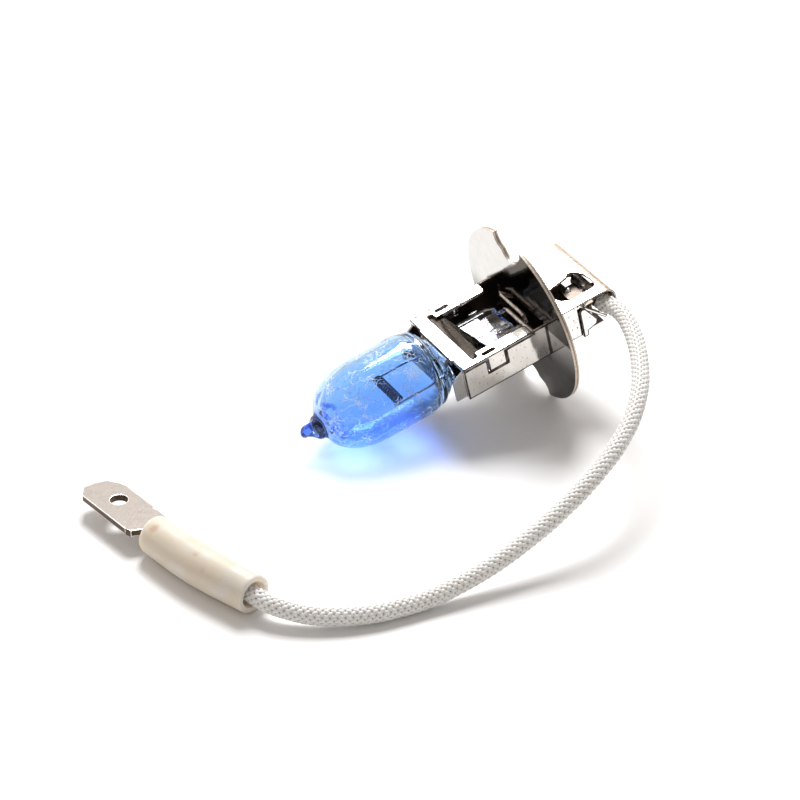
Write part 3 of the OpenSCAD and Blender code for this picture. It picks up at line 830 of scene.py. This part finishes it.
def softened(node, materials, width, choose, edge_finish=-1, outline=0.0):
    """A copy of a CAD node with its sharp edges rounded over and a finish chosen for each face.

    choose gets the face's centre and normal on the bulb's axes and the width of a strip of its shape.
    edge_finish goes on the rounded edges, and outline is the width of its band on the flat sides."""
    piece = frame["nodes"][node].copy()
    piece.data = piece.data.copy()
    piece.name = node + "_finished"
    piece.data.name = piece.name
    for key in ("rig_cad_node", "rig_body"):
        if key in piece:
            del piece[key]
    piece.parent = None
    bpy.context.scene.collection.objects.link(piece)
    shape = bmesh.new()
    shape.from_mesh(piece.data)
    bmesh.ops.remove_doubles(shape, verts=shape.verts, dist=1e-6)
    bmesh.ops.dissolve_limit(
        shape, angle_limit=math.radians(1.0), verts=shape.verts, edges=shape.edges,
        use_dissolve_boundaries=False,
    )
    to_bulb = BULB.inverted()
    turn_back = BULB_TURN.to_3x3().inverted()
    for face in shape.faces:
        centre, normal = to_bulb @ face.calc_center_median(), turn_back @ face.normal
        face.material_index = choose(centre, normal, strip_width(face))
    sharp = [edge for edge in shape.edges if edge.is_manifold and edge.calc_face_angle(0) > BEVEL_ANGLE]
    bmesh.ops.bevel(
        shape, geom=sharp, offset=width * MM, offset_type="OFFSET", segments=2, profile=0.6,
        affect="EDGES", clamp_overlap=True, material=edge_finish,
    )
    if outline:
        outline_flat_faces(shape, outline, edge_finish)
    for face in shape.faces:
        face.smooth = strip_width(face) < SMOOTH_STRIP
    for edge in shape.edges:
        edge.smooth = not edge.is_manifold or edge.calc_face_angle(0) < SHARP_ANGLE
    piece.data.materials.clear()
    for material in materials:
        piece.data.materials.append(material)
    shape.to_mesh(piece.data)
    shape.free()
    old_normals = piece.data.attributes.get("custom_normal")
    if old_normals:
        piece.data.attributes.remove(old_normals)
    keep(piece, node)


# the third finish paints shade on inner faces, the fourth paints shade along edges and folds
PLATE, CUT, PAINTED_DARK, PAINTED_OUTLINE = 0, 1, 2, 3
SHEET_FINISHES = [NICKEL, THIN_EDGE, PAINTED_SHADE_PLATE, EDGE_SHADE]
BURRED = 2


def tray_finish(centre, normal, strip):
    """Bright outside, painted dark inside as painted shade, bare metal on the cut edges."""
    if strip < 0.34:
        return CUT
    return PAINTED_DARK if centre.y * normal.y < -1 else PLATE


def plate_finish(centre, normal, strip):
    """Painted shade: dark underneath; bare metal on the cut edges."""
    if normal.z < -0.7:
        return PAINTED_DARK
    return CUT if strip < 0.2 else PLATE


def cradle_finish(centre, normal, strip):
    """Painted shade: dark on the inner faces of its side walls."""
    if centre.y * normal.y < -1 and abs(centre.y) > 5:
        return PAINTED_DARK
    return CUT if strip < 0.2 else PLATE


def flange_finish(centre, normal, strip):
    """The cut finish on the rim, the notches and the window's edge."""
    return CUT if abs(normal.x) < 0.7 else PLATE


def cap_finish(centre, normal, strip):
    """Painted shade: dark on the faces that look into the cap."""
    if strip < 0.24:
        return CUT
    under_top = normal.z < -0.5 and centre.z > -0.5
    over_bottom = normal.z > 0.7 and centre.z < 0
    return PAINTED_DARK if centre.y * normal.y < -1 or under_top or over_bottom else PLATE


def clamp_finish(centre, normal, strip):
    # painted shade: the whole clamp is dark
    return PAINTED_DARK


def blade_finish(centre, normal, strip):
    """Sheared sides on all faces that stand on edge; the blade lies flat on the table."""
    return CUT if abs((BULB_TURN.to_3x3() @ normal).z) < 0.7 else PLATE


softened("holder_tray", SHEET_FINISHES, 0.085, tray_finish, PAINTED_OUTLINE, 0.10)
softened("window_plate", SHEET_FINISHES, 0.085, plate_finish, PAINTED_OUTLINE, 0.13)
softened("pinch_cradle", [CRADLE_NICKEL, THIN_EDGE, PAINTED_SHADE_PLATE], 0.04, cradle_finish)
softened("base_flange", [FLANGE_NICKEL, CUT_EDGE], 0.05, flange_finish)
softened("rear_cap", SHEET_FINISHES, 0.07, cap_finish, PAINTED_OUTLINE, 0.09)
softened("rear_tray", SHEET_FINISHES, 0.07, cap_finish, PAINTED_OUTLINE, 0.09)
softened("cord_clamp", SHEET_FINISHES, 0.03, clamp_finish)
softened("terminal_blade", [BLADE, BLADE_SIDE, BURR], 0.09, blade_finish, BURRED, 0.09)

for node_name, material in (
    ("inner_lead_near", INNER_WIRE), ("inner_lead_far", INNER_WIRE), ("outer_lead_live", LEAD_WIRE),
    ("outer_lead_ground", LEAD_WIRE), ("foil_near", FOIL), ("foil_far", FOIL), ("lead_insulator", ceramic()),
    ("clamp_rivets", RIVET), ("splice_ferrule", FOIL), ("conductor_bulb_end", COPPER),
    ("conductor_terminal_end", COPPER),
):
    mesh = frame["nodes"][node_name].data
    mesh.materials.clear()
    mesh.materials.append(material)


# ---------------------------------------------------------------- floor and light
FLOOR_HALF = 1.6


def floor():
    finish = Finish("pale table", Roughness=0.6)
    grain = finish.noise(finish.place(), 0.05, 2.0)
    finish.feed("Base Color", finish.blend(grain, (0.93, 0.92, 0.91), (0.95, 0.945, 0.94)))
    corners = [(x * FLOOR_HALF, y * FLOOR_HALF, 0) for x, y in ((-1, -1), (1, -1), (1, 1), (-1, 1))]
    piece = new_piece("table_top", corners, [(0, 1, 2, 3)], [finish.material])


KEY_PLACE = Vector((0.083, 0.154, 0.268))
KEY_AIM = Vector((-0.005, 0, 0.004))


def key_light():
    """A square soft light, high behind the object."""
    light = bpy.data.lights.new("key light", "AREA")
    light.shape = "RECTANGLE"
    light.size = light.size_y = 0.14
    light.energy = 1.2
    light.color = (0.98, 0.99, 1.0)
    holder = bpy.data.objects.new("key light", light)
    holder.location = KEY_PLACE
    holder.rotation_euler = (KEY_PLACE - KEY_AIM).to_track_quat("Z", "Y").to_euler()
    bpy.context.scene.collection.objects.link(holder)


def sky(behind, front):
    """Pale surroundings: a bright backdrop behind the object, dimmer towards the viewer."""
    world = bpy.data.worlds.new("studio")
    world.use_nodes = True
    nodes, links = world.node_tree.nodes, world.node_tree.links
    way = nodes.new("ShaderNodeTexCoord")
    split = nodes.new("ShaderNodeSeparateXYZ")
    reach = nodes.new("ShaderNodeMapRange")
    reach.interpolation_type = "SMOOTHSTEP"
    reach.inputs["From Min"].default_value = 0.1
    reach.inputs["From Max"].default_value = 0.75
    reach.inputs["To Min"].default_value = front
    reach.inputs["To Max"].default_value = behind
    links.new(way.outputs["Generated"], split.inputs[0])
    links.new(split.outputs["Y"], reach.inputs["Value"])
    links.new(reach.outputs[0], nodes["Background"].inputs["Strength"])
    nodes["Background"].inputs["Color"].default_value = (1.0, 0.955, 0.915, 1)
    bpy.context.scene.world = world


floor()
key_light()
sky(0.95, 0.36)

view = bpy.context.scene.view_settings
view.view_transform = "Standard"
view.look = "None"
